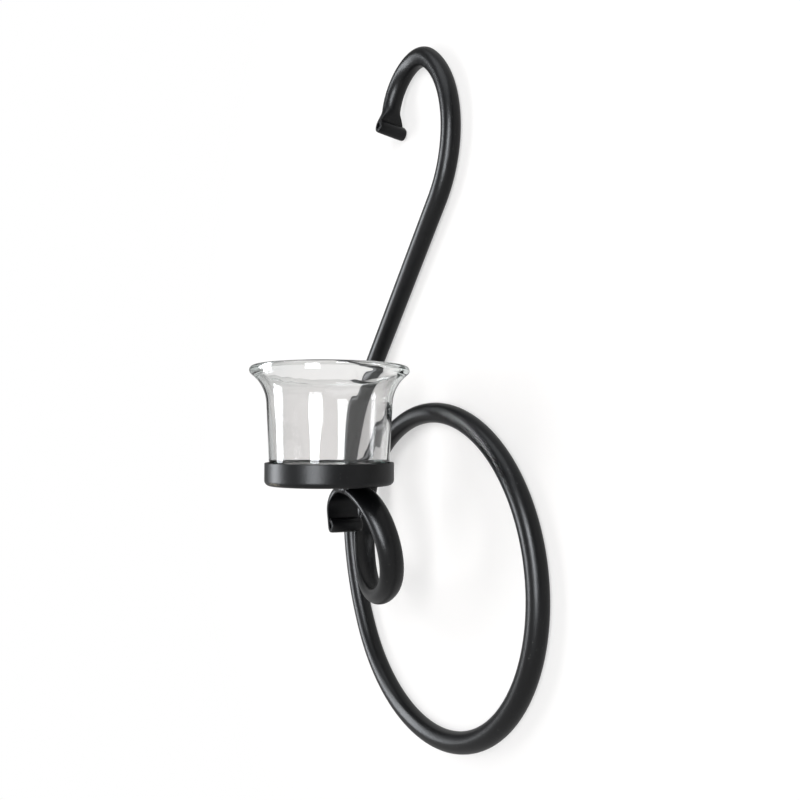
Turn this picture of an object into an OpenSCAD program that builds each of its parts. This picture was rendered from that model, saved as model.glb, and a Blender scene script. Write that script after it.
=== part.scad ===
// Wall sconce candle holder: one bent steel tube that hangs from a crook, makes a large
// ring and winds into a scroll, with a pressed pan welded on the scroll and a loose glass.
// Millimetres. The wall is the plane y = 0, the room is on the -y side, +z is up. The origin
// is where the crook bears on its hanging point, at the wall.

/* [Tube] */
// Outer diameter of the tube
tube_d = 9.5; // [6:0.1:12]
// Wall thickness of the tube
tube_wall = 0.9; // [0.6:0.1:1.5]

/* [Crook] */
// Radius of the crook over the hanging point
crook_r = 20; // [16:0.5:28]
// Turn of the crook from its top down to its open end
crook_nose_bend = 90; // [70:1:100]
// Forward tilt of the crook's open end, off the wall
crook_tilt = 7; // [6:1:12]
// Turn of the crook from its top to the shoulder
crook_back_bend = 40; // [30:1:50]
// Length of the crook's leg below its bend
crook_leg = 11; // [6:0.5:20]
// Radius of the shoulder between the crook and the stem
shoulder_r = 51; // [35:1:70]

/* [Stem and ring] */
// Lean of the straight stem from plumb
stem_lean = 40; // [25:1:50]
// Length of the straight stem
stem_len = 91; // [60:1:140]
// Radius of the sweep from the stem into the ring
sweep_r = 124; // [100:1:160]
// Turn of the sweep
sweep_bend = 73; // [60:1:85]
// Radius of the ring, to the middle of the tube
ring_r = 75; // [60:1:95]
// Turn of the ring
ring_bend = 272; // [255:1:285]

/* [Scroll arm] */
// Twist of the bending plane where the arm leaves the wall
lead_twist = 10; // [4:1:14]
// Radius of the bend that leads down from the ring
lead_r = 40; // [34:0.5:46]
// Turn of the lead bend
lead_bend = 62; // [56:1:68]
// Twist of the bending plane at the start of the loop
loop_twist = 10; // [6:1:16]
// Radius of the loop's lower half
loop_low_r = 42; // [36:0.5:46]
// Turn of the loop's lower half
loop_low_bend = 112; // [104:1:120]
// Twist of the bending plane between the loop's halves
loop_top_twist = 25; // [15:1:30]
// Radius of the loop's upper half
loop_top_r = 25.1; // [20:0.1:29]
// Turn of the loop's upper half
loop_top_bend = 156; // [148:1:164]

/* [Flattened stretches] */
// Thickness of the loop's two limbs, which are pressed flat on their inside
half_round_t = 6.3; // [5.6:0.1:8]
// Thickness of the loop at its lowest point, where it is pressed less
loop_low_t = 7.8; // [7:0.1:9]
// Thickness of the flattened tube where the pan sits
strap_t = 4.4; // [3:0.1:6]
// Thickness of the hammered leaf at each end
leaf_t = 1.8; // [1.6:0.1:2.6]
// How much the leaf is spread beyond the flattened tube
leaf_spread = 1.6; // [0:0.1:2.6]
// Straight length of the strap past the loop
strap_len = 1; // [0.5:0.5:6]
// Radius of the bend from the strap into the leaf
leaf_r = 9; // [7:0.5:13]
// Turn of that bend
leaf_bend = 98; // [85:1:110]
// Straight length of the leaf before its curl
leaf_len = 7; // [3:0.5:12]
// Radius of the curl at the leaf's tip
curl_r = 2.3; // [2:0.1:4]
// Turn of the curl
curl_bend = 225; // [180:1:235]
// Straight length after the curl
curl_tip = 2; // [0.5:0.1:2.5]

/* [Pan] */
// Outer diameter of the pan
pan_d = 57.8; // [50:0.1:70]
// Height of the pan
pan_h = 10.2; // [8:0.1:18]
// Sheet thickness of the pan
pan_t = 1; // [0.8:0.1:1.6]
// Outer radius of the pan's bottom edge
pan_edge_r = 2.5; // [2:0.5:6]
// Pan axis in front of the loop's highest point
pan_forward = 15.1; // [8:0.1:18]
// Pan axis to the right of the loop's highest point
pan_right = 7.7; // [0:0.1:10]
// Radius of the weld bead at the strap's front edge
bead_front_r = 2.6; // [2:0.1:3.2]
// Straight length of that bead
bead_front_len = 6; // [3:0.5:8]
// How far that bead's middle lies before the loop's highest point
bead_front_back = 2.5; // [0:0.1:4]
// Radius of the weld bead at the strap's rear edge
bead_rear_r = 2.1; // [1.6:0.1:2.6]
// Straight length of that bead
bead_rear_len = 5; // [3:0.5:8]

/* [Glass] */
// Gap between the glass and the pan's wall at the glass's foot
glass_gap = 1.3; // [0.8:0.1:4]
// Height of the glass
glass_h = 52.2; // [40:0.1:70]
// Wall thickness of the glass
glass_wall = 2.4; // [1.8:0.1:3.5]
// Thickness of the glass's base
glass_base = 6; // [4:0.5:9]
// Radius of the glass's outer bottom edge
glass_edge_r = 3; // [2:0.5:4]
// Radius of the hollow's bottom edge
glass_well_r = 5; // [3:0.5:8]
// How much wider the glass is below the flare than at its foot
glass_draft = 1.6; // [0.5:0.1:4]
// Radius of the flare, on the outside of the glass
flare_r = 18; // [14:0.5:24]
// Turn of the flare, out from plumb
flare_bend = 50; // [35:1:65]
// Radius of the fire-polished lip
lip_r = 2; // [1.3:0.1:2.4]

/* [Hidden] */
$fn = 96;

paint = "#1c1c1e";
weld = "#2a2a2c";
clear_glass = [0.85, 0.92, 0.92, 0.35];

tube_r = tube_d / 2;
// Sides of a flattened section, and the length of tube between its rings
flat_sides = 16;
flat_step = 3;
curl_step_deg = 20;
// Length over which the round tube turns into the half-round section of the loop
dent_len = 14;
// Shares of the loop's upper half between which the tube flattens down to the strap
flatten_from = 0.35;
flatten_to = 0.85;
// Share of the strap's thickness that lies outside the middle of the tube
strap_share = 0.55;
// How square a section is, round, as the strap and as the leaf: 2 is an ellipse, more is squarer
round_power = 2;
strap_power = 2.6;
leaf_power = 6;
// Least half-thickness of the hollow inside a flattened tube
hollow_min = 0.5;

// A pose on the tube is [place, heading, side the bend turns to, across the bending plane].
function forward(p, len) = [p[0] + len * p[1], p[1], p[2], p[3]];
function twist(p, a) =
    [p[0], p[1], cos(a) * p[2] + sin(a) * p[3], cos(a) * p[3] - sin(a) * p[2]];
function bend(p, r, a) =
    [p[0] + r * sin(a) * p[1] + r * (1 - cos(a)) * p[2],
     cos(a) * p[1] + sin(a) * p[2],
     cos(a) * p[2] - sin(a) * p[1],
     p[3]];

// The tube's route from the top of the crook, which bears on the hanging point
crook_top = [0, -tube_r, tube_r];
back_start = [crook_top, [1, 0, 0], [0, 0, -1], [0, 1, 0]];
nose_start = twist([crook_top, [-1, 0, 0], [0, 0, -1], [0, -1, 0]], crook_tilt);

shoulder_start = bend(back_start, crook_r, crook_back_bend);
shoulder_bend = stem_lean + 90 - crook_back_bend;
stem_start = bend(shoulder_start, shoulder_r, shoulder_bend);
// The sweep turns the other way from the crook, so the bending plane turns over
sweep_start = twist(forward(stem_start, stem_len), 180);
ring_start = bend(sweep_start, sweep_r, sweep_bend);
lead_start = twist(bend(ring_start, ring_r, ring_bend), lead_twist);
loop_start = twist(bend(lead_start, lead_r, lead_bend), loop_twist);
loop_top_start = twist(bend(loop_start, loop_low_r, loop_low_bend), loop_top_twist);
loop_end = bend(loop_top_start, loop_top_r, loop_top_bend);
// Turn of the strap about its own length that lays it level under the pan
level_twist = atan(loop_end[3][2] / loop_end[2][2]);
strap_end = forward(twist(loop_end, level_twist), strap_len);
leaf_start = bend(strap_end, leaf_r, leaf_bend);

function arc_len(r, a) = PI * r * a / 180;

// Poses along one bend or straight, each with its distance from the start of the flattened
// stretch. The first pose is left out where the stretch before it already has it. The section
// turns about the tube's own length from roll0 to roll1 over the bend.
function bend_poses(p, r, a, s0, step_deg, skip = 0, roll0 = 0, roll1 = 0) =
    let (n = max(2, ceil(a / step_deg)))
    [for (i = [skip : n])
        [twist(bend(p, r, a * i / n), roll0 + (roll1 - roll0) * i / n), s0 + arc_len(r, a * i / n)]];
function straight_poses(p, len, s0) =
    let (n = max(1, ceil(len / flat_step)))
    [for (i = [1 : n]) [forward(p, len * i / n), s0 + len * i / n]];

function step_deg(r) = 180 * flat_step / (PI * r);

// The leaf, from the pose where it leaves the bend before it: a straight and the curl
function leaf_poses(p, len, s0) =
    let (curl_start = forward(p, len), s1 = s0 + len)
    let (tip_start = bend(curl_start, curl_r, curl_bend), s2 = s1 + arc_len(curl_r, curl_bend))
    concat(
        straight_poses(p, len, s0),
        bend_poses(curl_start, curl_r, curl_bend, s1, curl_step_deg, 1),
        straight_poses(tip_start, curl_tip, s2));

// A flattened tube keeps its girth, so a thinner section is wider
function flat_width(t) = PI / 2 * tube_d - (PI / 2 - 1) * t;

// One ring of a flattened section at a pose, whose round inside is pressed flat. shape is
// [outer half, inner half, half width, squareness], and inset shrinks it to the tube's bore.
function flat_ring(p, shape, inset = 0) =
    [for (i = [0 : flat_sides - 1])
        let (a = 360 * i / flat_sides)
        let (n = shape[3], reach = pow(pow(abs(cos(a)), n) + pow(abs(sin(a)), n), -1 / n))
        let (outer = max(shape[0] - inset, hollow_min), inner = max(shape[1] - inset, hollow_min))
        let (height = cos(a) > 0 ? outer * reach * cos(a) : max((tube_r - inset) * reach * cos(a), -inner))
        p[0] - height * p[2] + (shape[2] - inset) * reach * sin(a) * p[3]];

// Sections along a flattened stretch, each [distance, thickness, outer half, width, squareness]
function round_section(s) = [s, tube_d, tube_r, tube_d, round_power];
function half_round_section(s, t) = [s, t, tube_r, flat_width(t), round_power];
function strap_section(s) =
    [s, strap_t, strap_share * strap_t, flat_width(strap_t), strap_power];
function leaf_section(s) = [s, leaf_t, leaf_t / 2, flat_width(leaf_t) + leaf_spread, leaf_power];
// The shape of the ring at distance s, between those sections
function shape_at(sections, s) =
    let (v = [for (i = [1 : 4]) lookup(s, [for (q = sections) [q[0], q[i]]])])
    [v[1], v[0] - v[1], v[2] / 2, v[3]];

arm_low_len = arc_len(loop_low_r, loop_low_bend);
arm_top_len = arc_len(loop_top_r, loop_top_bend);
arm_loop_len = arm_low_len + arm_top_len;
// The loop's lowest point is where its heading is level
arm_low_at = arc_len(loop_low_r, atan2(-loop_start[1][2], loop_start[2][2]));
arm_strap_len = arm_loop_len + strap_len;
arm_leaf_at = arm_strap_len + arc_len(leaf_r, leaf_bend);
arm_sections = [
    round_section(0),
    half_round_section(dent_len, half_round_t),
    half_round_section(arm_low_at, loop_low_t),
    half_round_section(arm_low_len + flatten_from * arm_top_len, half_round_t),
    strap_section(arm_low_len + flatten_to * arm_top_len),
    strap_section(arm_strap_len),
    leaf_section(arm_leaf_at)];
function arm_shape(s) = shape_at(arm_sections, s);

arm_poses = concat(
    bend_poses(loop_start, loop_low_r, loop_low_bend, 0, step_deg(loop_low_r), 0,
        0, loop_top_twist / 2),
    bend_poses(loop_top_start, loop_top_r, loop_top_bend, arm_low_len, step_deg(loop_top_r), 1,
        -loop_top_twist / 2, level_twist),
    straight_poses(twist(loop_end, level_twist), strap_len, arm_loop_len),
    bend_poses(strap_end, leaf_r, leaf_bend, arm_strap_len, step_deg(leaf_r), 1),
    leaf_poses(leaf_start, leaf_len, arm_leaf_at));
arm_rings = [for (p = arm_poses) flat_ring(p[0], arm_shape(p[1]))];
// The hollow runs on inside a flattened stretch until its walls nearly meet
function is_hollow(shape) = shape[0] + shape[1] > 2 * (tube_wall + hollow_min);
arm_bores = [for (p = arm_poses)
    if (is_hollow(arm_shape(p[1])))
        flat_ring(p[0], arm_shape(p[1]), tube_wall)];

// The crook's leg is round at its top and flattens down to its leaf
crook_leg_start = bend(nose_start, crook_r, crook_nose_bend);
function crook_shape(s) = shape_at([round_section(0), leaf_section(crook_leg)], s);
crook_poses = concat([[crook_leg_start, 0]], leaf_poses(crook_leg_start, crook_leg, 0));
crook_rings = [for (p = crook_poses) flat_ring(p[0], crook_shape(p[1]))];
crook_bores = [for (p = crook_poses)
    if (is_hollow(crook_shape(p[1])))
        flat_ring(p[0], crook_shape(p[1]), tube_wall)];

// Highest point of the loop, where the pan sits
function highest(rings) = max([for (ring = rings) for (q = ring) q[2]]);
strap_top = highest(arm_rings);
strap_top_ring = [for (i = [0 : len(arm_rings) - 1])
    if (max([for (q = arm_rings[i]) q[2]]) == strap_top) i][0];
seat = arm_poses[strap_top_ring][0];
seat_shape = arm_shape(arm_poses[strap_top_ring][1]);
pan_axis = [seat[0][0] + pan_right, seat[0][1] - pan_forward];

glass_foot_r = pan_d / 2 - pan_t - glass_gap;
glass_bottom = strap_top + pan_t;

// Where each weld bead lies across the strap, as a share of its half width
bead_front_side = 0.73;
bead_rear_side = 0.95;
// How far a bead's middle lies under the pan, as a share of its radius
bead_drop = 0.95;

glass_lip_z = glass_h - lip_r;
flare_z = glass_lip_z - (flare_r + glass_wall / 2) * sin(flare_bend);
flare_centre = [glass_foot_r + glass_draft + flare_r, flare_z];
arc_steps = 12;

function arc_points(centre, r, a0, a1) =
    [for (i = [0 : arc_steps])
        let (a = a0 + (a1 - a0) * i / arc_steps)
        centre + r * [cos(a), sin(a)]];

function axes(x, y, z, o) =
    [[x[0], y[0], z[0], o[0]], [x[1], y[1], z[1], o[1]], [x[2], y[2], z[2], o[2]], [0, 0, 0, 1]];

module tube_section() {
    difference() {
        circle(d = tube_d);
        circle(d = tube_d - 2 * tube_wall);
    }
}

module tube_bend(p, r, a) {
    multmatrix(axes(-p[2], p[1], p[3], p[0] + r * p[2]))
        rotate_extrude(angle = a)
            translate([r, 0])
                tube_section();
}

module tube_straight(p, len) {
    multmatrix(axes(p[2], p[3], p[1], p[0]))
        linear_extrude(len)
            tube_section();
}

// A flattened tube: rings of its outside, and rings of the hollow from its open start
module flat_tube(rings, bores) {
    n = flat_sides;
    last = len(rings) - 1;
    bore_last = len(bores) - 1;
    bore_at = len(rings) * n;
    function outer(k, i) = k * n + i % n;
    function inner(k, i) = bore_at + k * n + i % n;
    points = [for (ring = concat(rings, bores)) for (q = ring) q];
    sides = [for (k = [0 : last - 1]) for (i = [0 : n - 1]) for (half = [0, 1])
        half == 0
            ? [outer(k, i), outer(k, i + 1), outer(k + 1, i + 1)]
            : [outer(k, i), outer(k + 1, i + 1), outer(k + 1, i)]];
    bore_sides = [for (k = [0 : bore_last - 1]) for (i = [0 : n - 1]) for (half = [0, 1])
        half == 0
            ? [inner(k, i), inner(k + 1, i + 1), inner(k, i + 1)]
            : [inner(k, i), inner(k + 1, i), inner(k + 1, i + 1)]];
    mouth = [for (i = [0 : n - 1]) [outer(0, i), inner(0, i), inner(0, i + 1), outer(0, i + 1)]];
    bore_end = [[for (i = [n - 1 : -1 : 0]) inner(bore_last, i)]];
    tip = [[for (i = [0 : n - 1]) outer(last, i)]];
    polyhedron(points, concat(sides, bore_sides, mouth, bore_end, tip));
}

module crook_leaf() {
    color(paint) flat_tube(crook_rings, crook_bores);
}

module crook_nose() {
    color(paint) tube_bend(nose_start, crook_r, crook_nose_bend);
}

module crook_back() {
    color(paint) tube_bend(back_start, crook_r, crook_back_bend);
}

module shoulder_tube() {
    color(paint) tube_bend(shoulder_start, shoulder_r, shoulder_bend);
}

module stem_tube() {
    color(paint) tube_straight(stem_start, stem_len);
}

module sweep_tube() {
    color(paint) tube_bend(sweep_start, sweep_r, sweep_bend);
}

module ring_tube() {
    color(paint) tube_bend(ring_start, ring_r, ring_bend);
}

module arm_tube() {
    color(paint) tube_bend(lead_start, lead_r, lead_bend);
}

module arm_strap() {
    color(paint) flat_tube(arm_rings, arm_bores);
}

// Half outline of a round dish with a rounded bottom edge
module dish_half(r, h, edge) {
    square([r - edge, h]);
    translate([0, edge]) square([r, h - edge]);
    translate([r - edge, edge]) circle(edge);
}

module candle_pan() {
    pan_r = pan_d / 2;
    rim_z = pan_h - pan_t / 2;
    color(paint)
        translate([pan_axis[0], pan_axis[1], strap_top])
            rotate_extrude()
                intersection() {
                    union() {
                        difference() {
                            dish_half(pan_r, rim_z, pan_edge_r);
                            translate([0, pan_t]) dish_half(pan_r - pan_t, pan_h, pan_edge_r - pan_t);
                        }
                        translate([pan_r - pan_t / 2, rim_z]) circle(pan_t / 2);
                    }
                    square([pan_r, pan_h]);
                }
}

// A bead of weld along the strap, flat against the underside of the pan
module weld_bead(side, r, len, back = 0) {
    half_w = seat_shape[2];
    middle = seat[0] + side * half_w * seat[3] - back * seat[1];
    along = atan2(seat[1][1], seat[1][0]);
    room = len + 2 * r;
    color(weld)
        translate([middle[0], middle[1], strap_top])
            rotate(along)
                intersection() {
                    translate([-len / 2, 0, -bead_drop * r]) {
                        rotate([0, 90, 0]) cylinder(h = len, r = r);
                        sphere(r);
                        translate([len, 0, 0]) sphere(r);
                    }
                    translate([-room / 2, -r, -2 * r]) cube([room, 2 * r, 2 * r]);
                }
}

module front_weld_bead() {
    weld_bead(bead_front_side, bead_front_r, bead_front_len, bead_front_back);
}

module rear_weld_bead() {
    weld_bead(-bead_rear_side, bead_rear_r, bead_rear_len);
}

module glass_cup() {
    foot_edge = [glass_foot_r - glass_edge_r, glass_edge_r];
    well_edge = [glass_foot_r - glass_wall - glass_well_r, glass_base + glass_well_r];
    out = 180 - flare_bend;
    lip = flare_centre + (flare_r + glass_wall / 2) * [cos(out), sin(out)];
    color(clear_glass)
        translate([pan_axis[0], pan_axis[1], glass_bottom])
            rotate_extrude() {
                polygon(concat(
                    [[0, 0]],
                    arc_points(foot_edge, glass_edge_r, -90, 0),
                    arc_points(flare_centre, flare_r, 180, out),
                    arc_points(flare_centre, flare_r + glass_wall, out, 180),
                    arc_points(well_edge, glass_well_r, 0, -90),
                    [[0, glass_base]]));
                translate(lip) circle(lip_r);
            }
}

crook_leaf();
crook_nose();
crook_back();
shoulder_tube();
stem_tube();
sweep_tube();
ring_tube();
arm_tube();
arm_strap();
candle_pan();
front_weld_bead();
rear_weld_bead();
glass_cup();
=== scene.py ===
"""Wall sconce candle holder: a bent black tube, a welded pan and a loose votive glass.

Every piece is modelled in metres in the part's own frame: the wall is the plane y = 0, the room
is on the -y side and +z is up. The origin is where the crook bears on its hanging point.
"""

import math
import random

import bmesh
import bpy
from bpy.props import FloatProperty, FloatVectorProperty, IntProperty, PointerProperty
from mathutils import Matrix, Vector


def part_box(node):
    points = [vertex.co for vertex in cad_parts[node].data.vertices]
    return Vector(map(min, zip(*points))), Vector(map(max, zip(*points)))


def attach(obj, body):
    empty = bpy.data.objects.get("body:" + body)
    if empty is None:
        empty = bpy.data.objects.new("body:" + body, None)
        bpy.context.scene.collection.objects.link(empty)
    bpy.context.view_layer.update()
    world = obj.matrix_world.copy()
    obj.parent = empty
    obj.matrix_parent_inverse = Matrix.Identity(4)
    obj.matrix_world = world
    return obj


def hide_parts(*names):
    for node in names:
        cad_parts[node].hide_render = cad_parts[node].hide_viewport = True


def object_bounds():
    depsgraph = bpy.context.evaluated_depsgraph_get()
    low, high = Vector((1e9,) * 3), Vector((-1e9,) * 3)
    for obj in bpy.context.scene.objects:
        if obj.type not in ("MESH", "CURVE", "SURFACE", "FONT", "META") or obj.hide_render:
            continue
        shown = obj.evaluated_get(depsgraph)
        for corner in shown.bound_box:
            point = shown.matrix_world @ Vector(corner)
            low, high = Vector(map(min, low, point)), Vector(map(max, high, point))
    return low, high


bl_info = {
    "name": "Wall Sconce Candle Holder",
    "version": (1, 0, 0),
    "blender": (4, 5, 0),
    "location": "3D View > Sidebar > Sconce",
    "description": "Models a wall sconce bent from one tube, with its welded pan and votive glass",
    "category": "Object",
}

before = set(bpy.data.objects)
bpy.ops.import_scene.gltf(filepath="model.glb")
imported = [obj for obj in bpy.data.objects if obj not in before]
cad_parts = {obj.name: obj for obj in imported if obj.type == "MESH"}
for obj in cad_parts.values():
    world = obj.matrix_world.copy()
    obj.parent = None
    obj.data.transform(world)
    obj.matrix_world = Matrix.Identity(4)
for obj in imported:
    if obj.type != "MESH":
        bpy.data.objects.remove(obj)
CAD_LOW, CAD_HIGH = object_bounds()
PAN_LOW, PAN_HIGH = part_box("candle_pan")
GLASS_LOW, GLASS_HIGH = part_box("glass_cup")
PAN_AXIS = (PAN_LOW + PAN_HIGH) / 2
SCONCE_MIDDLE = (CAD_LOW + CAD_HIGH) / 2

TUBE_NODES = (
    "crook_leaf", "crook_nose", "crook_back", "shoulder_tube", "stem_tube", "sweep_tube",
    "ring_tube", "arm_tube", "arm_strap",
)

QUARTER_TURN = math.radians(90)
# Vertices that are closer than this, in metres, are one
MERGE_DISTANCE = 1e-6


def length(name, metres, text):
    """A size that a user may change."""
    return FloatProperty(name=name, description=text, default=metres, precision=4, unit="LENGTH")


def turn(name, degrees, text):
    """An angle that a user may change."""
    return FloatProperty(name=name, description=text, default=math.radians(degrees), subtype="ANGLE")


def colour(name, rgb, text):
    """A colour that a user may change."""
    return FloatVectorProperty(name=name, description=text, default=rgb, min=0, max=1, subtype="COLOR")


def share(name, value, text):
    """A number from 0 to 1 that a user may change."""
    return FloatProperty(name=name, description=text, default=value, min=0, max=1, subtype="FACTOR")


class SconceTube(bpy.types.PropertyGroup):
    """The bending schedule of the tube."""

    diameter: length("Diameter", 0.0095, "Outer diameter of the tube")
    sides: IntProperty(name="Sides", description="Faces round the tube", default=56, min=12)
    step: length("Step", 0.0014, "Length of tube between two rings of faces")
    crook_radius: length("Crook radius", 0.020, "Radius of the crook over the hanging point")
    crook_nose: turn("Crook nose", 90, "Turn from the crook's top down to its open end")
    crook_tilt: turn("Crook tilt", 7, "Tilt of the crook's open end off the wall")
    crook_back: turn("Crook back", 40, "Turn from the crook's top to the shoulder")
    crook_leg: length("Crook leg", 0.011, "Length of the crook's leg below its bend")
    shoulder_radius: length("Shoulder radius", 0.051, "Radius between the crook and the stem")
    stem_lean: turn("Stem lean", 40, "Lean of the straight stem from plumb")
    stem_length: length("Stem length", 0.091, "Length of the straight stem")
    sweep_radius: length("Sweep radius", 0.124, "Radius from the stem into the ring")
    sweep_turn: turn("Sweep turn", 73, "Turn of the sweep")
    ring_radius: length("Ring radius", 0.075, "Radius of the ring, to the middle of the tube")
    ring_turn: turn("Ring turn", 272, "Turn of the ring")
    lead_twist: turn("Lead twist", 10, "Twist of the bending plane where the arm leaves the wall")
    lead_radius: length("Lead radius", 0.040, "Radius of the bend that leads down from the ring")
    lead_turn: turn("Lead turn", 62, "Turn of the lead bend")
    loop_twist: turn("Loop twist", 10, "Twist of the bending plane at the start of the loop")
    low_radius: length("Loop low radius", 0.042, "Radius of the loop's lower half")
    low_turn: turn("Loop low turn", 112, "Turn of the loop's lower half")
    top_twist: turn("Loop top twist", 25, "Twist of the bending plane between the loop's halves")
    top_radius: length("Loop top radius", 0.0251, "Radius of the loop's upper half")
    top_turn: turn("Loop top turn", 156, "Turn of the loop's upper half")


class SconceFlats(bpy.types.PropertyGroup):
    """The flattened stretches of the tube."""

    dent_length: length("Dent length", 0.014, "Length over which the round tube gets its flat face")
    half_round_thickness: length("Half-round thickness", 0.0063, "Thickness of the loop's two limbs")
    low_thickness: length("Low thickness", 0.0078, "Thickness of the loop at its lowest point")
    flatten_from: share("Flatten from", 0.35, "Share of the loop's upper half where it starts to flatten")
    flatten_to: share("Flatten to", 0.85, "Share of the loop's upper half where it is the strap")
    strap_thickness: length("Strap thickness", 0.0044, "Thickness of the tube under the pan")
    strap_share: share("Strap share", 0.55, "Share of that thickness on the loop's outside")
    leaf_thickness: length("Leaf thickness", 0.0018, "Thickness of the leaf at each end")
    leaf_spread: length("Leaf spread", 0.0016, "How much the leaf is spread beyond the strap")
    strap_length: length("Strap length", 0.001, "Straight length of the strap past the loop")
    leaf_radius: length("Leaf radius", 0.009, "Radius of the bend from the strap into the leaf")
    leaf_turn: turn("Leaf turn", 98, "Turn of that bend")
    leaf_length: length("Leaf length", 0.007, "Straight length of the leaf before its curl")
    curl_radius: length("Curl radius", 0.0023, "Radius of the curl at the leaf's tip")
    curl_turn: turn("Curl turn", 225, "Turn of the curl")
    curl_tip: length("Curl tip", 0.002, "Straight length after the curl")
    groove: share("Groove", 0.2, "Depth of the hollow in the flat face, as a share of the flat's depth")


class SconcePan(bpy.types.PropertyGroup):
    """The pressed pan and its welds."""

    radius: length("Radius", (PAN_HIGH.x - PAN_LOW.x) / 2, "Outer radius of the pan")
    height: length("Height", PAN_HIGH.z - PAN_LOW.z, "Height of the pan")
    sheet: length("Sheet", 0.001, "Thickness of the sheet")
    edge: length("Edge radius", 0.0025, "Outer radius of the bottom edge")
    ripple: length("Weld ripple", 0.0016, "Distance between the ripples of a weld bead")


class SconceGlass(bpy.types.PropertyGroup):
    """The votive glass."""

    height: length("Height", GLASS_HIGH.z - GLASS_LOW.z, "Height of the glass")
    foot: length("Foot radius", 0.0266, "Outer radius at the foot")
    draft: length("Draft", 0.0016, "How much wider the glass is below the flare than at its foot")
    wall: length("Wall", 0.0024, "Wall thickness")
    base: length("Base", 0.006, "Thickness of the base")
    edge: length("Edge radius", 0.003, "Radius of the outer bottom edge")
    well: length("Well radius", 0.005, "Radius of the hollow's bottom edge")
    flare_radius: length("Flare radius", 0.018, "Radius of the flare, on the outside")
    flare_turn: turn("Flare turn", 50, "Turn of the flare, out from plumb")
    lip: length("Lip radius", 0.002, "Radius of the fire-polished lip")
    lip_fillet: length("Lip fillet", 0.004, "Radius that blends the lip into the wall")


class SconceColours(bpy.types.PropertyGroup):
    """The finishes."""

    paint: colour("Paint", (0.0027, 0.0028, 0.0032), "Satin black paint")
    dust: colour("Dust", (0.06, 0.058, 0.055), "Dust specks on the paint")
    bare_metal: colour("Bare metal", (0.27, 0.24, 0.19), "Metal where the paint has chipped")
    # The glass colour is partly the glass's own slight warm tint and mostly painted shade of the wall seen
    # through the glass
    glass: colour("Glass", (0.868, 0.846, 0.846), "Clear glass")
    depths: colour("Depths", (0.55, 0.85, 0.78), "Tint of the glass where light runs a long way in it")


class SconceStage(bpy.types.PropertyGroup):
    """The wall, the floor, the lights and the camera."""

    backdrop: colour("Backdrop", (0.80, 0.765, 0.73), "Wall and floor")
    glow: share("Glow", 0.5, "How white the backdrop shows, whatever the light on it")
    mirror_glow: share("Mirror glow", 0.42, "How white the backdrop shows in gloss")
    shadow_reach: length("Shadow reach", 0.4, "How far from the sconce the backdrop takes shadows")
    bright_reach: length("Bright reach", 2.0, "How far from the sconce the backdrop is white behind glass")
    wall_gap: length("Wall gap", 0.0003, "Gap between the sconce and the wall")
    floor_drop: length("Floor drop", 1.6, "Height of the hanging point above the floor")
    backdrop_size: length("Backdrop size", 16.0, "Side of the wall and the floor")
    camera_place: FloatVectorProperty(
        name="Camera place", description="Where the camera stands", subtype="TRANSLATION",
        default=(0.3246, -0.2069, -0.1847), precision=4)
    camera_aim: FloatVectorProperty(
        name="Camera aim", description="The point that the camera looks at", subtype="TRANSLATION",
        default=(0.0273, -0.0300, -0.1680), precision=4)
    camera_lens: FloatProperty(
        name="Camera lens", description="Focal length on a 36 mm sensor, in millimetres", default=35)


class SconceSettings(bpy.types.PropertyGroup):
    """All that a user may change."""

    tube: PointerProperty(type=SconceTube)
    flats: PointerProperty(type=SconceFlats)
    pan: PointerProperty(type=SconcePan)
    glass: PointerProperty(type=SconceGlass)
    colours: PointerProperty(type=SconceColours)
    stage: PointerProperty(type=SconceStage)


# Shader maths

class Wire:
    """A number or vector on its way through a material. Python's operators add Math nodes."""

    def __init__(self, finish, socket):
        self.finish = finish
        self.socket = socket

    def joined(self, operation, first, second):
        """The result of a Math node."""
        return self.finish.node("ShaderNodeMath", {"operation": operation}, {0: first, 1: second})

    def __add__(self, other):
        return self.joined("ADD", self, other)

    def __rsub__(self, other):
        return self.joined("SUBTRACT", other, self)

    def __mul__(self, other):
        return self.joined("MULTIPLY", self, other)


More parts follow.
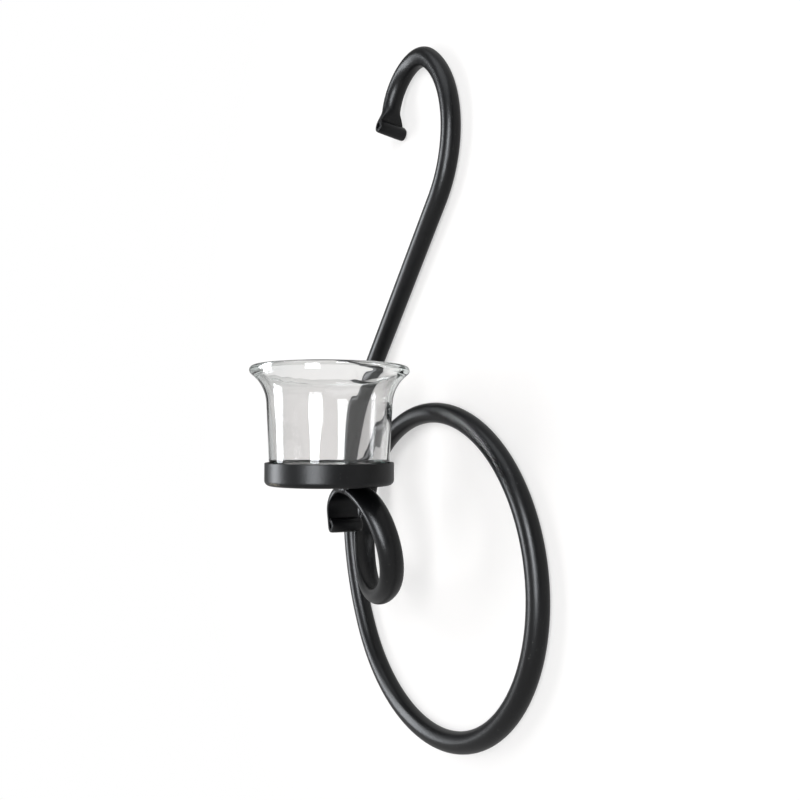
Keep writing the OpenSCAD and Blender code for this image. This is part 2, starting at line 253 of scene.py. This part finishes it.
class Finish:
    """One material, and the methods that build its nodes."""

    # The sockets of a Mix node that mixes colours
    COLOUR_A = 6
    COLOUR_B = 7
    COLOUR_RESULT = 2

    def __init__(self, name):
        self.material = bpy.data.materials.new(name)
        self.material.use_nodes = True
        self.tree = self.material.node_tree
        self.shader = self.tree.nodes["Principled BSDF"]
        self.place = self.node("ShaderNodeTexCoord", output="Object")

    def node(self, kind, settings=None, inputs=None, output=0):
        """Adds a node, sets it up, feeds its sockets and gives one of its outputs."""
        made = self.tree.nodes.new(kind)
        for name, value in (settings or {}).items():
            setattr(made, name, value)
        for key, value in (inputs or {}).items():
            self.feed(made.inputs[key], value)
        return Wire(self, made.outputs[output])

    def feed(self, socket, value):
        """Links a wire to a socket, or sets the socket to a plain value."""
        if isinstance(value, Wire):
            self.tree.links.new(value.socket, socket)
        else:
            socket.default_value = value

    def noise(self, feature, detail=2.0, roughness=0.5, place=None):
        """Noise from 0 to 1 whose patches are about as wide as feature, in metres."""
        sockets = {"Vector": place or self.place, "Scale": 1 / feature}
        sockets.update({"Detail": detail, "Roughness": roughness})
        return self.node("ShaderNodeTexNoise", None, sockets)

    def ramp(self, value, low, high, start=0.0, end=1.0):
        """Eases from start to end while value goes from low to high."""
        sockets = {"Value": value, "From Min": low, "From Max": high, "To Min": start, "To Max": end}
        return self.node("ShaderNodeMapRange", {"interpolation_type": "SMOOTHSTEP"}, sockets)

    def tinted(self, amount, first, second):
        """A colour that goes from first to second with amount."""
        sockets = {0: amount, self.COLOUR_A: first, self.COLOUR_B: second}
        return self.node("ShaderNodeMix", {"data_type": "RGBA"}, sockets, self.COLOUR_RESULT)

    def bump(self, height, depth, under=None):
        """A bump of that depth, in metres, over the one that is under it."""
        sockets = {"Height": height, "Distance": depth}
        if under is not None:
            sockets["Normal"] = under
        return self.node("ShaderNodeBump", None, sockets)

    def near(self, point, radius):
        """From 1 at a point to 0 at a distance of radius from it."""
        sockets = {0: self.place, 1: point}
        away = self.node("ShaderNodeVectorMath", {"operation": "DISTANCE"}, sockets, "Value")
        return self.ramp(away, 0.0, radius, 1.0, 0.0)

    def surface(self, **sockets):
        """Feeds the shader's sockets, named with _ for a space."""
        for name, value in sockets.items():
            self.feed(self.shader.inputs[name.replace("_", " ").title().replace("Ior", "IOR")], value)
        return self.material


def opaque(rgb):
    """A colour with its alpha."""
    return (*rgb, 1.0)


# Finishes

WHITE = (1.0, 1.0, 1.0, 1.0)

# How wide the patches of each noise in the paint are, in metres
CLOUD_WIDTH = 0.03
PEEL_WIDTH = 0.0011
GRAIN_WIDTH = 0.00035
SPECK_WIDTH = 0.0009
LUMP_WIDTH = 0.0016
FLAKE_WIDTH = 0.0009

# How deep the paint's relief is, in metres
PEEL_DEPTH = 0.00004
GRAIN_DEPTH = 0.000016
CHIP_DEPTH = 0.00008

# The values of a noise between which its effect sets in
CLOUD_SPAN = (0.3, 0.7)
SPECK_SPAN = (0.8, 0.84)
FLAKE_SPAN = (0.46, 0.5)
CHIP_SPAN = (0.3, 0.42)
SMEAR_SPAN = (0.45, 0.75)

# What clouds, dust specks and chips change, at most
CLOUD_ROUGHNESS = 0.03
SPECK_ROUGHNESS = 0.2
SPECK_COVER = 0.5
CHIP_ROUGHNESS = 0.12
CHIP_METALLIC = 0.8

# The glass: its waves are longest upwards, and smears dull it in patches
WAVE_STRETCH = (1.0, 1.0, 0.3)
WAVE_WIDTH = 0.011
WAVE_DEPTH = 0.0005
SMEAR_WIDTH = 0.02
SMEAR_ROUGHNESS = 0.025
TINT_DENSITY = 25.0


def satin_paint(name, colours, rough, lumps=0.0, chips=()):
    """Sprayed satin black with orange peel, dust specks and, near each of chips, bare metal."""
    finish = Finish(name)
    cloud = finish.noise(CLOUD_WIDTH, detail=3.0)
    peel = finish.noise(PEEL_WIDTH)
    grain = finish.noise(GRAIN_WIDTH, detail=1.0)
    speck = finish.ramp(finish.noise(SPECK_WIDTH, detail=0.0), *SPECK_SPAN)
    paint = finish.tinted(speck * SPECK_COVER, opaque(colours.paint), opaque(colours.dust))
    rough = finish.ramp(cloud, *CLOUD_SPAN, rough - CLOUD_ROUGHNESS, rough + CLOUD_ROUGHNESS)
    rough = rough + speck * SPECK_ROUGHNESS
    normal = finish.bump(grain, GRAIN_DEPTH, finish.bump(peel, PEEL_DEPTH))
    if lumps:
        normal = finish.bump(finish.noise(LUMP_WIDTH), lumps, normal)
    metallic = 0.0
    if chips:
        flakes = finish.ramp(finish.noise(FLAKE_WIDTH, detail=4.0, roughness=0.65), *FLAKE_SPAN)
        chipped = flakes * finish.near(*chips[0])
        for point, radius in chips[1:]:
            chipped = chipped + flakes * finish.near(point, radius)
        chipped = finish.ramp(chipped, *CHIP_SPAN)
        paint = finish.tinted(chipped, paint, opaque(colours.bare_metal))
        metallic = chipped * CHIP_METALLIC
        rough = rough + chipped * CHIP_ROUGHNESS
        normal = finish.bump(1 - chipped, CHIP_DEPTH, normal)
    return finish.surface(base_color=paint, roughness=rough, metallic=metallic, normal=normal)


def votive_glass(name, colours):
    """Clear pressed glass: slightly wavy, greener where light runs along the wall, and greyed with painted
    shade of the wall seen through it.
    """
    finish = Finish(name)
    drawn = finish.node(
        "ShaderNodeVectorMath", {"operation": "MULTIPLY"}, {0: finish.place, 1: WAVE_STRETCH})
    waves = finish.bump(finish.noise(WAVE_WIDTH, detail=1.0, place=drawn), WAVE_DEPTH)
    smear = finish.ramp(finish.noise(SMEAR_WIDTH, detail=3.0), *SMEAR_SPAN, 0.0, SMEAR_ROUGHNESS)
    depths = finish.node(
        "ShaderNodeVolumeAbsorption", None, {"Color": opaque(colours.depths), "Density": TINT_DENSITY})
    finish.feed(finish.tree.nodes["Material Output"].inputs["Volume"], depths)
    # The base colour is greyed: painted shade of the wall seen through the glass
    return finish.surface(
        base_color=opaque(colours.glass), roughness=smear, normal=waves, transmission_weight=1.0, ior=1.5)


def backdrop_paint(name, stage):
    """Pale paint that shows nearly white to the eye and in gloss, and is clear from behind."""
    finish = Finish(name)
    near = finish.near(SCONCE_MIDDLE, stage.shadow_reach)
    beside = finish.near(SCONCE_MIDDLE, stage.bright_reach)
    seen = finish.node("ShaderNodeLightPath", output="Is Camera Ray")
    through = finish.node("ShaderNodeLightPath", output="Is Transmission Ray")
    mirrored = finish.node("ShaderNodeLightPath", output="Is Glossy Ray") * (1 - through)
    shown = (seen + through) * (1 - near * (1 - stage.glow)) + mirrored
    finish.surface(base_color=opaque(stage.backdrop), roughness=1.0, specular_ior_level=0.0)
    dimmed = mirrored + through * (1 - beside)
    white = finish.tinted(dimmed, WHITE, opaque([stage.mirror_glow] * 3))
    glow = finish.node("ShaderNodeEmission", None, {"Color": white})
    paint = Wire(finish, finish.shader.outputs[0])
    front = finish.node("ShaderNodeMixShader", None, {0: shown, 1: paint, 2: glow})
    behind = finish.node("ShaderNodeNewGeometry", None, None, "Backfacing")
    clear = finish.node("ShaderNodeBsdfTransparent")
    both = finish.node("ShaderNodeMixShader", None, {0: behind, 1: front, 2: clear})
    finish.feed(finish.tree.nodes["Material Output"].inputs["Surface"], both)
    return finish.material


# Bending and lathing

def bent(pose, radius, angle):
    """The pose at the end of a bend. A pose heads along its X and bends towards its Y."""
    centre = Matrix.Translation((0, radius, 0))
    return pose @ centre @ Matrix.Rotation(angle, 4, "Z") @ centre.inverted()


def moved(pose, distance):
    """The pose after a straight length."""
    return pose @ Matrix.Translation((distance, 0, 0))


def rolled(pose, angle):
    """The pose turned about its own heading."""
    return pose @ Matrix.Rotation(angle, 4, "X")


def eased(distance, stations):
    """A value that eases from station to station, each a distance and the value there."""
    for (start, low), (end, high) in zip(stations, stations[1:]):
        if distance < end:
            t = max(0.0, (distance - start) / (end - start))
            return low + (high - low) * t * t * (3 - 2 * t)
    return stations[-1][1]


def verts_of(edges):
    """The vertices of some edges, each once."""
    return list({vert for edge in edges for vert in edge.verts})


def edges_in(geometry):
    """The edges in an operator's result."""
    return [item for item in geometry if isinstance(item, bmesh.types.BMEdge)]


def soft_least(first, second, blend):
    """The smaller of two lengths, blended where they are closer than blend."""
    overlap = max(0.0, blend - abs(first - second))
    return min(first, second) - overlap * overlap / (4 * blend)


class FlatSection:
    """Outline of a flattened tube: round on the outside of its bend, pressed flat on the inside."""

    # How far, in metres, the flat face blends into the round back
    CORNER = 0.0016
    # Share of the section's width that the groove takes
    GROOVE_WIDTH = 0.9

    def __init__(self, thickness, outer, width, power, radius, groove):
        self.radius = radius
        self.outer = outer
        self.inner = thickness - outer
        self.half_width = width / 2
        self.power = power
        self.groove = groove * (self.outer - self.inner)

    def point(self, around):
        """The outline's point at an angle round the tube, in a pose's own axes."""
        up, side = math.cos(around), math.sin(around)
        reach = (abs(up) ** self.power + abs(side) ** self.power) ** (-1 / self.power)
        across = reach * side
        if up > 0:
            height = self.outer * reach * up
        else:
            hollow = self.groove * max(0.0, 1 - (across / self.GROOVE_WIDTH) ** 2) ** 2
            height = -soft_least(-self.radius * reach * up, self.inner - hollow, self.CORNER)
        return Vector((0, -height, self.half_width * across))


class TubeBender:
    """A ring of edges that is pushed and spun along a route and leaves the tube's wall behind it."""

    SECTION_PLANE = Matrix.Rotation(QUARTER_TURN, 4, "Y")
    FEWEST_STEPS = 4

    def __init__(self, mesh, pose, tube):
        self.mesh = mesh
        self.pose = pose
        self.step = tube.step
        self.radius = tube.diameter / 2
        self.around = mesh.verts.layers.float["around"]
        circle = bmesh.ops.create_circle(
            mesh, segments=tube.sides, radius=self.radius, matrix=pose @ self.SECTION_PLANE)
        self.ring = list({edge for vert in circle["verts"] for edge in vert.link_edges})

    def spin(self, radius, angle, steps):
        """Bends the tube towards the pose's Y."""
        spun = bmesh.ops.spin(
            self.mesh, geom=verts_of(self.ring) + self.ring, angle=angle, steps=steps,
            cent=self.pose @ Vector((0, radius, 0)), axis=self.pose.to_3x3().col[2])
        self.ring = edges_in(spun["geom_last"])
        self.pose = bent(self.pose, radius, angle)

    def bend(self, radius, angle):
        """A bend of the round tube."""
        self.spin(radius, angle, max(self.FEWEST_STEPS, round(radius * angle / self.step)))

    def push(self, distance):
        """A straight length of tube."""
        pushed = bmesh.ops.extrude_edge_only(self.mesh, edges=self.ring)
        self.ring = [edge for edge in edges_in(pushed["geom"]) if edge.is_boundary]
        self.pose = moved(self.pose, distance)
        heading = self.pose.to_3x3().col[0]
        bmesh.ops.translate(self.mesh, verts=verts_of(self.ring), vec=heading * distance)

    def twist(self, angle):
        """Turns the bending plane about the tube."""
        self.pose = rolled(self.pose, angle)

    def start_flat(self, stations, groove):
        """From here the tube is flattened. Each station is a distance from here and an outline."""
        self.stations = stations
        self.groove = groove
        self.distance = 0.0
        unposed = self.pose.inverted()
        for vert in verts_of(self.ring):
            local = unposed @ vert.co
            vert[self.around] = math.atan2(local.z, -local.y)

    def press(self, distance, roll=0.0):
        """Presses the last ring to its section, rolled about the tube."""
        self.distance += distance
        section = FlatSection(*eased(self.distance, self.stations), self.radius, self.groove)
        place = rolled(self.pose, roll)
        for vert in verts_of(self.ring):
            vert.co = place @ section.point(vert[self.around])

    def flat_bend(self, radius, angle, step, roll=(0.0, 0.0)):
        """A bend of the flattened tube, whose section rolls over from the first roll to the second."""
        steps = max(self.FEWEST_STEPS, round(radius * angle / step))
        for i in range(steps):
            self.spin(radius, angle / steps, 1)
            self.press(radius * angle / steps, roll[0] + (roll[1] - roll[0]) * (i + 1) / steps)

    def flat_push(self, distance):
        """A straight length of the flattened tube."""
        steps = max(1, round(distance / self.step))
        for _ in range(steps):
            self.push(distance / steps)
            self.press(distance / steps)

    def close(self, chamfer):
        """Closes the end with a chamfered face."""
        cap = bmesh.ops.edgeloop_fill(self.mesh, edges=self.ring)["faces"]
        bmesh.ops.inset_region(self.mesh, faces=cap, thickness=chamfer, depth=chamfer, use_even_offset=True)


class Profile:
    """A wire in the plane y = 0 of runs and arcs, which a lathe spins into a round piece."""

    ARC_STEP = math.radians(6)
    FEWEST_STEPS = 2

    def __init__(self):
        self.mesh = bmesh.new()
        self.tip = self.mesh.verts.new((0, 0, 0))
        self.heading = 0.0

    def run(self, distance):
        """A straight length."""
        run = bmesh.ops.extrude_vert_indiv(self.mesh, verts=[self.tip])
        self.tip = run["verts"][0]
        self.tip.co += distance * Vector((math.cos(self.heading), 0, math.sin(self.heading)))

    def arc(self, radius, angle):
        """An arc, to the left where angle is above 0 and to the right where it is below."""
        side = math.copysign(radius, angle)
        centre = self.tip.co + side * Vector((-math.sin(self.heading), 0, math.cos(self.heading)))
        spun = bmesh.ops.spin(
            self.mesh, geom=[self.tip], cent=centre, axis=(0, -1, 0), angle=angle,
            steps=max(self.FEWEST_STEPS, round(abs(angle) / self.ARC_STEP)))
        self.tip = [item for item in spun["geom_last"] if isinstance(item, bmesh.types.BMVert)][0]
        self.heading += angle

    def run_to_axis(self):
        """A straight length that ends on the axis."""
        self.run(-self.tip.co.x / math.cos(self.heading))

    def lathe(self, foot, segments):
        """Spins the wire about the upright axis and stands it on foot."""
        bmesh.ops.spin(
            self.mesh, geom=self.mesh.verts[:] + self.mesh.edges[:], cent=(0, 0, 0), axis=(0, 0, 1),
            angle=math.tau, steps=segments, use_merge=True)
        bmesh.ops.remove_doubles(self.mesh, verts=self.mesh.verts[:], dist=MERGE_DISTANCE)
        bmesh.ops.translate(self.mesh, verts=self.mesh.verts[:], vec=foot)
        return self.mesh


def new_piece(name, mesh, material, body, slot, *nodes):
    """Turns a mesh into a piece that rides on a body and stands for its nodes."""
    bmesh.ops.recalc_face_normals(mesh, faces=mesh.faces[:])
    data = bpy.data.meshes.new(name)
    mesh.to_mesh(data)
    mesh.free()
    data.shade_smooth()
    data.materials.append(material)
    piece = bpy.data.objects.new(name, data)
    bpy.context.scene.collection.objects.link(piece)
    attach(piece, body)
    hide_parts(*nodes)
    return piece


# The pieces

class SCONCE_OT_tube(bpy.types.Operator):
    """Bends the tube: leaf, crook, shoulder, stem, sweep, ring, lead, loop, strap and leaf"""

    bl_idname = "sconce.tube"
    bl_label = "Bend the tube"

    ROUGHNESS = 0.33
    # Length between two rings of faces in the leaf's bends, and the chamfer at its tip, in metres
    CURL_STEP = 0.0007
    CHAMFER = 0.00025
    # How square a section is: 2 is an ellipse, more is squarer
    ROUND_POWER = 2.0
    STRAP_POWER = 2.2
    LEAF_POWER = 6.0

    def outlines(self, tube, flats):
        """The sections: round, loop's limb, loop's lowest point, strap and leaf.

        Each is a thickness, the part of it on the loop's outside, a width and a squareness.
        """
        def flat_width(thickness):
            # A flattened tube keeps its girth, so a thinner section is wider
            return math.pi / 2 * tube.diameter - (math.pi / 2 - 1) * thickness

        radius = tube.diameter / 2
        limb, low = flats.half_round_thickness, flats.low_thickness
        strap, leaf = flats.strap_thickness, flats.leaf_thickness
        return (
            Vector((tube.diameter, radius, tube.diameter, self.ROUND_POWER)),
            Vector((limb, radius, flat_width(limb), self.ROUND_POWER)),
            Vector((low, radius, flat_width(low), self.ROUND_POWER)),
            Vector((strap, flats.strap_share * strap, flat_width(strap), self.STRAP_POWER)),
            Vector((leaf, leaf / 2, flat_width(leaf) + flats.leaf_spread, self.LEAF_POWER)))

    def leaf(self, bender, flats, straight):
        """The leaf's straight, its curl and its tip."""
        bender.flat_push(straight)
        bender.flat_bend(flats.curl_radius, flats.curl_turn, self.CURL_STEP)
        bender.flat_push(flats.curl_tip)
        bender.close(self.CHAMFER)

    def bend_nose(self, bender, settings):
        """From the crook's top down to the leaf at its open end."""
        tube, flats = settings.tube, settings.flats
        bender.pose = bender.pose @ Matrix.Rotation(math.pi, 4, "Y")
        bender.twist(tube.crook_tilt)
        bender.bend(tube.crook_radius, tube.crook_nose)
        full, *_, leaf = self.outlines(tube, flats)
        bender.start_flat([(0, full), (tube.crook_leg, leaf)], flats.groove)
        self.leaf(bender, flats, tube.crook_leg)

    def bend_stem_and_ring(self, bender, tube):
        """From the crook's top down the stem, round the ring and into the lead bend."""
        bender.bend(tube.crook_radius, tube.crook_back)
        bender.bend(tube.shoulder_radius, tube.stem_lean + QUARTER_TURN - tube.crook_back)
        stem_steps = round(tube.stem_length / tube.diameter)
        for _ in range(stem_steps):
            bender.push(tube.stem_length / stem_steps)
        bender.twist(math.pi)
        bender.bend(tube.sweep_radius, tube.sweep_turn)
        bender.bend(tube.ring_radius, tube.ring_turn)
        bender.twist(tube.lead_twist)
        bender.bend(tube.lead_radius, tube.lead_turn)
        bender.twist(tube.loop_twist)

    def bend_loop(self, bender, settings):
        """The loop, which flattens into the strap under the pan and the leaf past it."""
        tube, flats = settings.tube, settings.flats
        low = tube.low_radius * tube.low_turn
        top = tube.top_radius * tube.top_turn
        strap_end = low + top + flats.strap_length
        leaf_start = strap_end + flats.leaf_radius * flats.leaf_turn
        lowest = tube.low_radius * math.atan2(-bender.pose.col[0].z, bender.pose.col[1].z)
        full, limb, bottom, strap, leaf = self.outlines(tube, flats)
        bender.start_flat([
            (0, full), (flats.dent_length, limb), (lowest, bottom), (low + flats.flatten_from * top, limb),
            (low + flats.flatten_to * top, strap), (strap_end, strap), (leaf_start, leaf)], flats.groove)
        bender.flat_bend(tube.low_radius, tube.low_turn, tube.step, (0.0, tube.top_twist / 2))
        bender.twist(tube.top_twist)
        loop_end = bent(bender.pose, tube.top_radius, tube.top_turn)
        level = math.atan(loop_end.col[2].z / loop_end.col[1].z)
        bender.flat_bend(tube.top_radius, tube.top_turn, tube.step, (-tube.top_twist / 2, level))
        bender.twist(level)
        bender.flat_push(flats.strap_length)
        bender.flat_bend(flats.leaf_radius, flats.leaf_turn, self.CURL_STEP)
        self.leaf(bender, flats, flats.leaf_length)

    def execute(self, context):
        settings = context.scene.sconce
        tube = settings.tube
        radius = tube.diameter / 2
        mesh = bmesh.new()
        mesh.verts.layers.float.new("around")
        crook_top = Matrix.Translation((0, -radius, radius)) @ Matrix.Rotation(-QUARTER_TURN, 4, "X")
        self.bend_nose(TubeBender(mesh, crook_top, tube), settings)
        stem = TubeBender(mesh, crook_top, tube)
        self.bend_stem_and_ring(stem, tube)
        self.bend_loop(stem, settings)
        bmesh.ops.remove_doubles(mesh, verts=mesh.verts[:], dist=MERGE_DISTANCE)
        paint = satin_paint("satin_black_tube", settings.colours, self.ROUGHNESS)
        new_piece("bent_tube", mesh, paint, "frame", "black_paint", *TUBE_NODES)
        return {"FINISHED"}


class SCONCE_OT_pan(bpy.types.Operator):
    """Presses the pan: a shallow dish with a rounded bottom edge and a rounded rim"""

    bl_idname = "sconce.pan"
    bl_label = "Press the pan"

    SEGMENTS = 160
    ROUGHNESS = 0.38
    # Each chip: its angle from the pan's front, in radians, and its reach, in metres
    CHIP_SPOTS = (
        (0.0, 0.0009), (0.05, 0.0011), (0.1, 0.0012), (0.16, 0.001), (0.21, 0.0012), (0.28, 0.0009))
    # How far the chips lie up the rounded bottom edge
    CHIP_RISE = math.radians(60)

    def execute(self, context):
        settings = context.scene.sconce
        pan = settings.pan
        flat = pan.radius - pan.edge
        rim = pan.sheet / 2
        wall = pan.height - pan.edge - rim
        profile = Profile()
        profile.run(flat)
        profile.arc(pan.edge, QUARTER_TURN)
        profile.run(wall)
        profile.arc(rim, math.pi)
        profile.run(wall)
        profile.arc(pan.edge - pan.sheet, -QUARTER_TURN)
        profile.run_to_axis()
        mesh = profile.lathe((PAN_AXIS.x, PAN_AXIS.y, PAN_LOW.z), self.SEGMENTS)
        chips = [(self.edge_point(pan, angle), reach) for angle, reach in self.CHIP_SPOTS]
        paint = satin_paint("satin_black_pan", settings.colours, self.ROUGHNESS, chips=chips)
        new_piece("pan", mesh, paint, "frame", "black_paint", "candle_pan")
        return {"FINISHED"}

    def edge_point(self, pan, angle):
        """A point on the bottom edge, by its angle from the pan's front."""
        reach = pan.radius - pan.edge * (1 - math.sin(self.CHIP_RISE))
        rise = pan.edge * (1 - math.cos(self.CHIP_RISE))
        return (PAN_AXIS.x + reach * math.sin(angle), PAN_AXIS.y - reach * math.cos(angle),
                PAN_LOW.z + rise)


class SCONCE_OT_welds(bpy.types.Operator):
    """Runs the two weld beads between the strap and the pan"""

    bl_idname = "sconce.welds"
    bl_label = "Run the weld beads"

    SEED = 7
    VOXEL = 0.0002
    ROUGHNESS = 0.34
    LUMP_DEPTH = 0.00018
    FEWEST_BLOBS = 3
    # Half a blob's length, over the ripple, and half its height, over the bead's height
    BLOB_REACH = 1.2
    BLOB_RISE = 0.55
    # Depth of the blobs' middles below the bead's top, over the bead's height
    BLOB_DROP = 0.45
    # How the bead narrows towards its ends: 0 is not at all
    END_TAPER = 0.3
    # Size of the smallest blob, over the largest
    LEAST_BLOB = 0.94

    def bead(self, node, ripple, draws):
        """Overlapping blobs of metal along x in the node's box, cut off level with its top."""
        low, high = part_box(node)
        size = high - low
        count = max(self.FEWEST_BLOBS, round(size.x / ripple))
        mesh = bmesh.new()
        reach = self.BLOB_REACH * ripple
        for i in range(count):
            along = (i + 0.5) / count
            swell = math.sin(math.pi * along) ** self.END_TAPER * draws.uniform(self.LEAST_BLOB, 1.0)
            radii = Vector((reach, size.y / 2 * swell, self.BLOB_RISE * size.z * swell))
            centre = Vector((
                low.x + reach + (size.x - 2 * reach) * along, (low.y + high.y) / 2,
                high.z - self.BLOB_DROP * size.z))
            place = Matrix.Translation(centre) @ Matrix.Diagonal((*radii, 1))
            bmesh.ops.create_icosphere(mesh, subdivisions=3, radius=1, matrix=place)
        whole = mesh.verts[:] + mesh.edges[:] + mesh.faces[:]
        cut = bmesh.ops.bisect_plane(
            mesh, geom=whole, plane_co=high, plane_no=(0, 0, 1), clear_outer=True)
        bmesh.ops.holes_fill(mesh, edges=edges_in(cut["geom_cut"]))
        return mesh

    def execute(self, context):
        settings = context.scene.sconce
        draws = random.Random(self.SEED)
        paint = satin_paint("satin_black_weld", settings.colours, self.ROUGHNESS, self.LUMP_DEPTH)
        for node in ("front_weld_bead", "rear_weld_bead"):
            mesh = self.bead(node, settings.pan.ripple, draws)
            piece = new_piece(node.replace("_bead", ""), mesh, paint, "frame", "painted_weld", node)
            remesh = piece.modifiers.new("fused", "REMESH")
            remesh.mode = "VOXEL"
            remesh.voxel_size = self.VOXEL
            remesh.use_smooth_shade = True
        return {"FINISHED"}


class SCONCE_OT_glass(bpy.types.Operator):
    """Lathes the votive glass: thick base, drafted wall, flare and fire-polished lip"""

    bl_idname = "sconce.glass"
    bl_label = "Lathe the glass"

    SEGMENTS = 160

    def execute(self, context):
        settings = context.scene.sconce
        glass = settings.glass
        # The lip swells inwards only, so the outside of the flare runs smoothly into it
        lip_reach = glass.flare_radius + glass.wall / 2
        lip_out = glass.flare_radius - lip_reach * math.cos(glass.flare_turn)
        outside = lip_reach - glass.lip
        lean = math.acos((outside - lip_out) / lip_reach)
        lip_foot = glass.height - glass.lip - lip_reach * math.sin(lean)
        draft = math.atan(glass.draft / (lip_foot - glass.edge))
        flare_z = lip_foot + outside * math.sin(draft)
        flare = lean - draft
        swell = math.acos((glass.wall + glass.lip_fillet - glass.lip) / (glass.lip + glass.lip_fillet))
        lip_lead = (glass.lip + glass.lip_fillet) * math.sin(swell) / (outside + glass.wall)
        profile = Profile()
        profile.run(glass.foot - glass.edge)
        profile.arc(glass.edge, QUARTER_TURN - draft)
        profile.run((flare_z - profile.tip.co.z) / math.cos(draft))
        profile.arc(outside, -flare)
        profile.arc(glass.lip, math.pi + swell)
        profile.arc(glass.lip_fillet, lip_lead - swell)
        profile.arc(outside + glass.wall, flare - lip_lead)
        profile.run((profile.tip.co.z - glass.base - glass.well) / math.cos(draft))
        profile.arc(glass.well, draft - QUARTER_TURN)
        profile.run_to_axis()
        mesh = profile.lathe((PAN_AXIS.x, PAN_AXIS.y, GLASS_LOW.z), self.SEGMENTS)
        finish = votive_glass("clear_votive_glass", settings.colours)
        new_piece("votive_glass", mesh, finish, "glass", "clear_glass", "glass_cup")
        return {"FINISHED"}


class SCONCE_OT_stage(bpy.types.Operator):
    """Sets up the pale wall and floor, the soft lights and the camera"""

    bl_idname = "sconce.stage"
    bl_label = "Set the stage"

    # Each light: name, direction from the glass, distance, width and height, power in watts
    LIGHTS = (
        ("left_window", (-0.68, -0.73, 0.12), 1.2, (0.46, 1.1), 14),
        ("front_window", (0.62, -0.78, 0.12), 1.2, (0.42, 0.96), 16),
        ("ceiling", (0.15, -0.45, 1.0), 1.4, (1.2, 0.8), 4),
    )
    DAYLIGHT = (0.93, 0.96, 1.0)
    ROOM_LIGHT = (0.10, 0.10, 0.10)
    # How white the room looks through glass
    SKY_THROUGH_GLASS = 0.7

    def backdrop(self, name, paint, side, place):
        """A large square that faces the room."""
        mesh = bmesh.new()
        bmesh.ops.create_grid(mesh, x_segments=1, y_segments=1, size=side / 2, matrix=place)
        data = bpy.data.meshes.new(name)
        mesh.to_mesh(data)
        mesh.free()
        data.materials.append(paint)
        backdrop = bpy.data.objects.new(name, data)
        bpy.context.scene.collection.objects.link(backdrop)

    def light(self, name, direction, distance, size, power):
        """A soft window of light that shines on the glass."""
        data = bpy.data.lights.new(name, "AREA")
        data.shape = "RECTANGLE"
        data.size, data.size_y = size
        data.energy = power
        data.color = self.DAYLIGHT
        lamp = bpy.data.objects.new(name, data)
        away = Vector(direction).normalized()
        lamp.location = (GLASS_LOW + GLASS_HIGH) / 2 + away * distance
        lamp.rotation_euler = (-away).to_track_quat("-Z", "Y").to_euler()
        lamp.visible_camera = False
        bpy.context.scene.collection.objects.link(lamp)

    def sky(self):
        """Grey room light, which looks white to the camera and pale through glass."""
        world = bpy.data.worlds.new("room")
        world.use_nodes = True
        tree = world.node_tree
        sky = tree.nodes["Background"]
        sky.inputs["Color"].default_value = opaque(self.ROOM_LIGHT)
        seen = tree.nodes.new("ShaderNodeBackground")
        seen.inputs["Color"].default_value = WHITE
        path = tree.nodes.new("ShaderNodeLightPath")
        amount = tree.nodes.new("ShaderNodeMath")
        amount.operation = "MULTIPLY_ADD"
        amount.inputs[1].default_value = self.SKY_THROUGH_GLASS
        tree.links.new(path.outputs["Is Transmission Ray"], amount.inputs[0])
        tree.links.new(path.outputs["Is Camera Ray"], amount.inputs[2])
        mix = tree.nodes.new("ShaderNodeMixShader")
        tree.links.new(amount.outputs[0], mix.inputs[0])
        tree.links.new(sky.outputs[0], mix.inputs[1])
        tree.links.new(seen.outputs[0], mix.inputs[2])
        tree.links.new(mix.outputs[0], tree.nodes["World Output"].inputs["Surface"])
        bpy.context.scene.world = world

    def execute(self, context):
        scene = context.scene
        stage = scene.sconce.stage
        paint = backdrop_paint("pale_backdrop", stage)
        facing_room = Matrix.Rotation(QUARTER_TURN, 4, "X")
        wall_place = Matrix.Translation((0, stage.wall_gap, 0)) @ facing_room
        self.backdrop("wall", paint, stage.backdrop_size, wall_place)
        floor_place = Matrix.Translation((0, -stage.backdrop_size / 2, -stage.floor_drop))
        self.backdrop("floor", paint, stage.backdrop_size, floor_place)
        for light in self.LIGHTS:
            self.light(*light)
        self.sky()
        data = bpy.data.cameras.new("camera")
        data.lens = stage.camera_lens
        camera = bpy.data.objects.new("camera", data)
        camera.location = stage.camera_place
        looking = Vector(stage.camera_aim) - Vector(stage.camera_place)
        camera.rotation_euler = looking.to_track_quat("-Z", "Y").to_euler()
        scene.collection.objects.link(camera)
        scene.camera = camera
        scene.view_settings.view_transform = "Standard"
        return {"FINISHED"}


class SCONCE_PT_panel(bpy.types.Panel):
    """The sconce's sizes, finishes and operators"""

    bl_label = "Sconce"
    bl_idname = "SCONCE_PT_panel"
    bl_space_type = "VIEW_3D"
    bl_region_type = "UI"
    bl_category = "Sconce"

    def draw(self, context):
        settings = context.scene.sconce
        for group in ("tube", "flats", "pan", "glass", "colours", "stage"):
            box = self.layout.box()
            box.label(text=group.title())
            for name in getattr(settings, group).__annotations__:
                box.prop(getattr(settings, group), name)
        for operator in OPERATORS:
            self.layout.operator(operator.bl_idname)


OPERATORS = (SCONCE_OT_tube, SCONCE_OT_pan, SCONCE_OT_welds, SCONCE_OT_glass, SCONCE_OT_stage)
GROUPS = (SconceTube, SconceFlats, SconcePan, SconceGlass, SconceColours, SconceStage, SconceSettings)
CLASSES = (*GROUPS, *OPERATORS, SCONCE_PT_panel)


def register():
    for cls in CLASSES:
        bpy.utils.register_class(cls)
    bpy.types.Scene.sconce = PointerProperty(type=SconceSettings)


def unregister():
    del bpy.types.Scene.sconce
    for cls in reversed(CLASSES):
        bpy.utils.unregister_class(cls)


def main():
    register()
    bpy.ops.sconce.stage()
    bpy.ops.sconce.tube()
    bpy.ops.sconce.pan()
    bpy.ops.sconce.welds()
    bpy.ops.sconce.glass()


if __name__ == "__main__":
    main()
